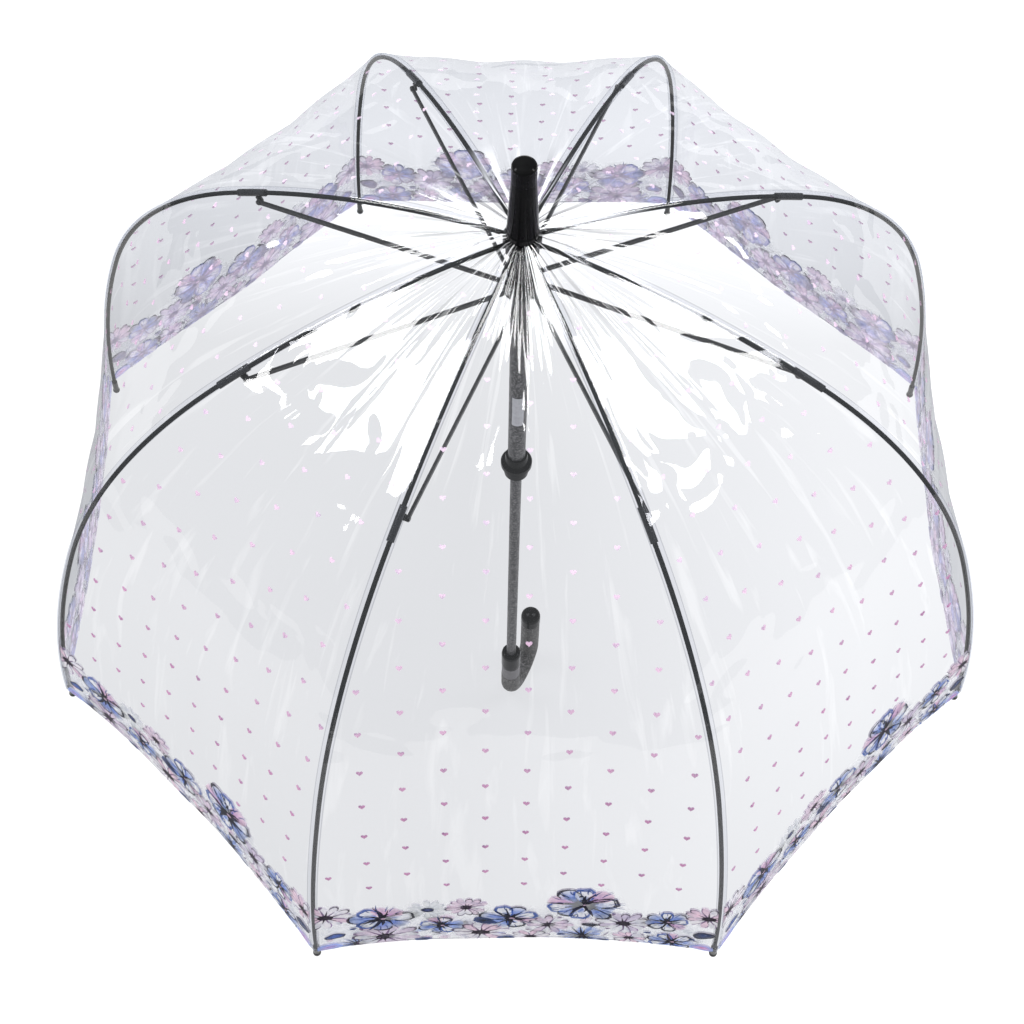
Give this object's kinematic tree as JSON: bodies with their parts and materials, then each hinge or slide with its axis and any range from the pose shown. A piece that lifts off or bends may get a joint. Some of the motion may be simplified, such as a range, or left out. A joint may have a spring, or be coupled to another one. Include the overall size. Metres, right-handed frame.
{
  "type": "clear dome umbrella",
  "caption": "Clear dome umbrella, open, with a printed film canopy on curved black ribs, a sliding runner that folds them, and a crook handle.",
  "frame": {"origin": "on the shaft axis, at the height of the handle's lowest point, which is the grip mount", "axes": "+Z along the shaft towards the ferrule; +X to the right and -Y towards the viewer in the picture, with a gore centred on -Y"},
  "size_m": [0.7816, 0.7816, 0.8666],
  "materials": {
    "steel_tube": "satin",
    "rib_rod": "satin",
    "wire": "satin",
    "black_plastic": "gloss",
    "grey_band": "satin",
    "grip_skin": "textured",
    "film": "clear film, printed"
  },
  "bodies": {
    "frame": {"shaft": "steel_tube", "ferrule": "black_plastic", "crown": "black_plastic", "crown_wire": "wire", "canopy": "film", "collar": "black_plastic", "grip_band": "grey_band", "grip": "grip_skin", "hook_cap": "black_plastic"},
    "runner": {"runner_tube": "steel_tube", "runner_notch": "black_plastic", "runner_ring": "black_plastic"},
    "rib_1": {"rib_inner_1": "rib_rod", "clamp_1": "black_plastic"},
    "rib_mid_1": {"rib_shoulder_1": "rib_rod"},
    "rib_end_1": {"rib_outer_1": "rib_rod", "tip_1": "black_plastic"},
    "strut_1": {"stretcher_1": "rib_rod"},
    "rib_2": {"rib_inner_2": "rib_rod", "clamp_2": "black_plastic"},
    "rib_mid_2": {"rib_shoulder_2": "rib_rod"},
    "rib_end_2": {"rib_outer_2": "rib_rod", "tip_2": "black_plastic"},
    "strut_2": {"stretcher_2": "rib_rod"},
    "rib_3": {"rib_inner_3": "rib_rod", "clamp_3": "black_plastic"},
    "rib_mid_3": {"rib_shoulder_3": "rib_rod"},
    "rib_end_3": {"rib_outer_3": "rib_rod", "tip_3": "black_plastic"},
    "strut_3": {"stretcher_3": "rib_rod"},
    "rib_4": {"rib_inner_4": "rib_rod", "clamp_4": "black_plastic"},
    "rib_mid_4": {"rib_shoulder_4": "rib_rod"},
    "rib_end_4": {"rib_outer_4": "rib_rod", "tip_4": "black_plastic"},
    "strut_4": {"stretcher_4": "rib_rod"},
    "rib_5": {"rib_inner_5": "rib_rod", "clamp_5": "black_plastic"},
    "rib_mid_5": {"rib_shoulder_5": "rib_rod"},
    "rib_end_5": {"rib_outer_5": "rib_rod", "tip_5": "black_plastic"},
    "strut_5": {"stretcher_5": "rib_rod"},
    "rib_6": {"rib_inner_6": "rib_rod", "clamp_6": "black_plastic"},
    "rib_mid_6": {"rib_shoulder_6": "rib_rod"},
    "rib_end_6": {"rib_outer_6": "rib_rod", "tip_6": "black_plastic"},
    "strut_6": {"stretcher_6": "rib_rod"},
    "rib_7": {"rib_inner_7": "rib_rod", "clamp_7": "black_plastic"},
    "rib_mid_7": {"rib_shoulder_7": "rib_rod"},
    "rib_end_7": {"rib_outer_7": "rib_rod", "tip_7": "black_plastic"},
    "strut_7": {"stretcher_7": "rib_rod"},
    "rib_8": {"rib_inner_8": "rib_rod", "clamp_8": "black_plastic"},
    "rib_mid_8": {"rib_shoulder_8": "rib_rod"},
    "rib_end_8": {"rib_outer_8": "rib_rod", "tip_8": "black_plastic"},
    "strut_8": {"stretcher_8": "rib_rod"}
  },
  "joints": [
    {"name": "runner_slide", "type": "slide", "parent": "frame", "child": "runner", "axis": [0, 0, -1], "range_m": [0, 0.36048], "deforming": ["canopy"]},
    {"name": "rib_fold_1", "type": "hinge", "parent": "frame", "child": "rib_1", "pos_m": [0.0097, 0.00402, 0.789], "axis": [-0.3827, 0.9239, 0], "range_deg": [0, 74]},
    {"name": "rib_flex_a_1", "type": "hinge", "parent": "rib_1", "child": "rib_mid_1", "pos_m": [0.21617, 0.08954, 0.73245], "axis": [0.3827, -0.9239, 0], "range_deg": [0, 29.7]},
    {"name": "rib_flex_b_1", "type": "hinge", "parent": "rib_mid_1", "child": "rib_end_1", "pos_m": [0.3278, 0.13578, 0.61699], "axis": [0.3827, -0.9239, 0], "range_deg": [0, 31.62]},
    {"name": "strut_fold_1", "type": "hinge", "parent": "runner", "child": "strut_1", "pos_m": [0.0077, 0.00806, 0.74], "axis": [0.3827, -0.9239, 0], "range_deg": [0, 89.51]},
    {"name": "rib_fold_2", "type": "hinge", "parent": "frame", "child": "rib_2", "pos_m": [0.00402, 0.0097, 0.789], "axis": [-0.9239, 0.3827, 0], "range_deg": [0, 74]},
    {"name": "rib_flex_a_2", "type": "hinge", "parent": "rib_2", "child": "rib_mid_2", "pos_m": [0.08954, 0.21617, 0.73245], "axis": [0.9239, -0.3827, 0], "range_deg": [0, 29.7]},
    {"name": "rib_flex_b_2", "type": "hinge", "parent": "rib_mid_2", "child": "rib_end_2", "pos_m": [0.13578, 0.3278, 0.61699], "axis": [0.9239, -0.3827, 0], "range_deg": [0, 31.62]},
    {"name": "strut_fold_2", "type": "hinge", "parent": "runner", "child": "strut_2", "pos_m": [-0.00025, 0.01115, 0.74], "axis": [0.9239, -0.3827, 0], "range_deg": [0, 89.51]},
    {"name": "rib_fold_3", "type": "hinge", "parent": "frame", "child": "rib_3", "pos_m": [-0.00402, 0.0097, 0.789], "axis": [-0.9239, -0.3827, 0], "range_deg": [0, 74]},
    {"name": "rib_flex_a_3", "type": "hinge", "parent": "rib_3", "child": "rib_mid_3", "pos_m": [-0.08954, 0.21617, 0.73245], "axis": [0.9239, 0.3827, 0], "range_deg": [0, 29.7]},
    {"name": "rib_flex_b_3", "type": "hinge", "parent": "rib_mid_3", "child": "rib_end_3", "pos_m": [-0.13578, 0.3278, 0.61699], "axis": [0.9239, 0.3827, 0], "range_deg": [0, 31.62]},
    {"name": "strut_fold_3", "type": "hinge", "parent": "runner", "child": "strut_3", "pos_m": [-0.00806, 0.0077, 0.74], "axis": [0.9239, 0.3827, 0], "range_deg": [0, 89.51]},
    {"name": "rib_fold_4", "type": "hinge", "parent": "frame", "child": "rib_4", "pos_m": [-0.0097, 0.00402, 0.789], "axis": [-0.3827, -0.9239, 0], "range_deg": [0, 74]},
    {"name": "rib_flex_a_4", "type": "hinge", "parent": "rib_4", "child": "rib_mid_4", "pos_m": [-0.21617, 0.08954, 0.73245], "axis": [0.3827, 0.9239, 0], "range_deg": [0, 29.7]},
    {"name": "rib_flex_b_4", "type": "hinge", "parent": "rib_mid_4", "child": "rib_end_4", "pos_m": [-0.3278, 0.13578, 0.61699], "axis": [0.3827, 0.9239, 0], "range_deg": [0, 31.62]},
    {"name": "strut_fold_4", "type": "hinge", "parent": "runner", "child": "strut_4", "pos_m": [-0.01115, -0.00025, 0.74], "axis": [0.3827, 0.9239, 0], "range_deg": [0, 89.51]},
    {"name": "rib_fold_5", "type": "hinge", "parent": "frame", "child": "rib_5", "pos_m": [-0.0097, -0.00402, 0.789], "axis": [0.3827, -0.9239, 0], "range_deg": [0, 74]},
    {"name": "rib_flex_a_5", "type": "hinge", "parent": "rib_5", "child": "rib_mid_5", "pos_m": [-0.21617, -0.08954, 0.73245], "axis": [-0.3827, 0.9239, 0], "range_deg": [0, 29.7]},
    {"name": "rib_flex_b_5", "type": "hinge", "parent": "rib_mid_5", "child": "rib_end_5", "pos_m": [-0.3278, -0.13578, 0.61699], "axis": [-0.3827, 0.9239, 0], "range_deg": [0, 31.62]},
    {"name": "strut_fold_5", "type": "hinge", "parent": "runner", "child": "strut_5", "pos_m": [-0.0077, -0.00806, 0.74], "axis": [-0.3827, 0.9239, 0], "range_deg": [0, 89.51]},
    {"name": "rib_fold_6", "type": "hinge", "parent": "frame", "child": "rib_6", "pos_m": [-0.00402, -0.0097, 0.789], "axis": [0.9239, -0.3827, 0], "range_deg": [0, 74]},
    {"name": "rib_flex_a_6", "type": "hinge", "parent": "rib_6", "child": "rib_mid_6", "pos_m": [-0.08954, -0.21617, 0.73245], "axis": [-0.9239, 0.3827, 0], "range_deg": [0, 29.7]},
    {"name": "rib_flex_b_6", "type": "hinge", "parent": "rib_mid_6", "child": "rib_end_6", "pos_m": [-0.13578, -0.3278, 0.61699], "axis": [-0.9239, 0.3827, 0], "range_deg": [0, 31.62]},
    {"name": "strut_fold_6", "type": "hinge", "parent": "runner", "child": "strut_6", "pos_m": [0.00025, -0.01115, 0.74], "axis": [-0.9239, 0.3827, 0], "range_deg": [0, 89.51]},
    {"name": "rib_fold_7", "type": "hinge", "parent": "frame", "child": "rib_7", "pos_m": [0.00402, -0.0097, 0.789], "axis": [0.9239, 0.3827, 0], "range_deg": [0, 74]},
    {"name": "rib_flex_a_7", "type": "hinge", "parent": "rib_7", "child": "rib_mid_7", "pos_m": [0.08954, -0.21617, 0.73245], "axis": [-0.9239, -0.3827, 0], "range_deg": [0, 29.7]},
    {"name": "rib_flex_b_7", "type": "hinge", "parent": "rib_mid_7", "child": "rib_end_7", "pos_m": [0.13578, -0.3278, 0.61699], "axis": [-0.9239, -0.3827, 0], "range_deg": [0, 31.62]},
    {"name": "strut_fold_7", "type": "hinge", "parent": "runner", "child": "strut_7", "pos_m": [0.00806, -0.0077, 0.74], "axis": [-0.9239, -0.3827, 0], "range_deg": [0, 89.51]},
    {"name": "rib_fold_8", "type": "hinge", "parent": "frame", "child": "rib_8", "pos_m": [0.0097, -0.00402, 0.789], "axis": [0.3827, 0.9239, 0], "range_deg": [0, 74]},
    {"name": "rib_flex_a_8", "type": "hinge", "parent": "rib_8", "child": "rib_mid_8", "pos_m": [0.21617, -0.08954, 0.73245], "axis": [-0.3827, -0.9239, 0], "range_deg": [0, 29.7]},
    {"name": "rib_flex_b_8", "type": "hinge", "parent": "rib_mid_8", "child": "rib_end_8", "pos_m": [0.3278, -0.13578, 0.61699], "axis": [-0.3827, -0.9239, 0], "range_deg": [0, 31.62]},
    {"name": "strut_fold_8", "type": "hinge", "parent": "runner", "child": "strut_8", "pos_m": [0.01115, 0.00025, 0.74], "axis": [-0.3827, -0.9239, 0], "range_deg": [0, 89.51]}
  ],
  "couplings": [
    {"joint": "rib_fold_1", "follows": "runner_slide", "rad_per_m": 3.5828},
    {"joint": "rib_flex_a_1", "follows": "runner_slide", "rad_per_m": 1.438},
    {"joint": "rib_flex_b_1", "follows": "runner_slide", "rad_per_m": 1.5309},
    {"joint": "strut_fold_1", "follows": "runner_slide", "rad_per_m": 4.3338},
    {"joint": "rib_fold_2", "follows": "runner_slide", "rad_per_m": 3.5828},
    {"joint": "rib_flex_a_2", "follows": "runner_slide", "rad_per_m": 1.438},
    {"joint": "rib_flex_b_2", "follows": "runner_slide", "rad_per_m": 1.5309},
    {"joint": "strut_fold_2", "follows": "runner_slide", "rad_per_m": 4.3338},
    {"joint": "rib_fold_3", "follows": "runner_slide", "rad_per_m": 3.5828},
    {"joint": "rib_flex_a_3", "follows": "runner_slide", "rad_per_m": 1.438},
    {"joint": "rib_flex_b_3", "follows": "runner_slide", "rad_per_m": 1.5309},
    {"joint": "strut_fold_3", "follows": "runner_slide", "rad_per_m": 4.3338},
    {"joint": "rib_fold_4", "follows": "runner_slide", "rad_per_m": 3.5828},
    {"joint": "rib_flex_a_4", "follows": "runner_slide", "rad_per_m": 1.438},
    {"joint": "rib_flex_b_4", "follows": "runner_slide", "rad_per_m": 1.5309},
    {"joint": "strut_fold_4", "follows": "runner_slide", "rad_per_m": 4.3338},
    {"joint": "rib_fold_5", "follows": "runner_slide", "rad_per_m": 3.5828},
    {"joint": "rib_flex_a_5", "follows": "runner_slide", "rad_per_m": 1.438},
    {"joint": "rib_flex_b_5", "follows": "runner_slide", "rad_per_m": 1.5309},
    {"joint": "strut_fold_5", "follows": "runner_slide", "rad_per_m": 4.3338},
    {"joint": "rib_fold_6", "follows": "runner_slide", "rad_per_m": 3.5828},
    {"joint": "rib_flex_a_6", "follows": "runner_slide", "rad_per_m": 1.438},
    {"joint": "rib_flex_b_6", "follows": "runner_slide", "rad_per_m": 1.5309},
    {"joint": "strut_fold_6", "follows": "runner_slide", "rad_per_m": 4.3338},
    {"joint": "rib_fold_7", "follows": "runner_slide", "rad_per_m": 3.5828},
    {"joint": "rib_flex_a_7", "follows": "runner_slide", "rad_per_m": 1.438},
    {"joint": "rib_flex_b_7", "follows": "runner_slide", "rad_per_m": 1.5309},
    {"joint": "strut_fold_7", "follows": "runner_slide", "rad_per_m": 4.3338},
    {"joint": "rib_fold_8", "follows": "runner_slide", "rad_per_m": 3.5828},
    {"joint": "rib_flex_a_8", "follows": "runner_slide", "rad_per_m": 1.438},
    {"joint": "rib_flex_b_8", "follows": "runner_slide", "rad_per_m": 1.5309},
    {"joint": "strut_fold_8", "follows": "runner_slide", "rad_per_m": 4.3338}
  ]
}
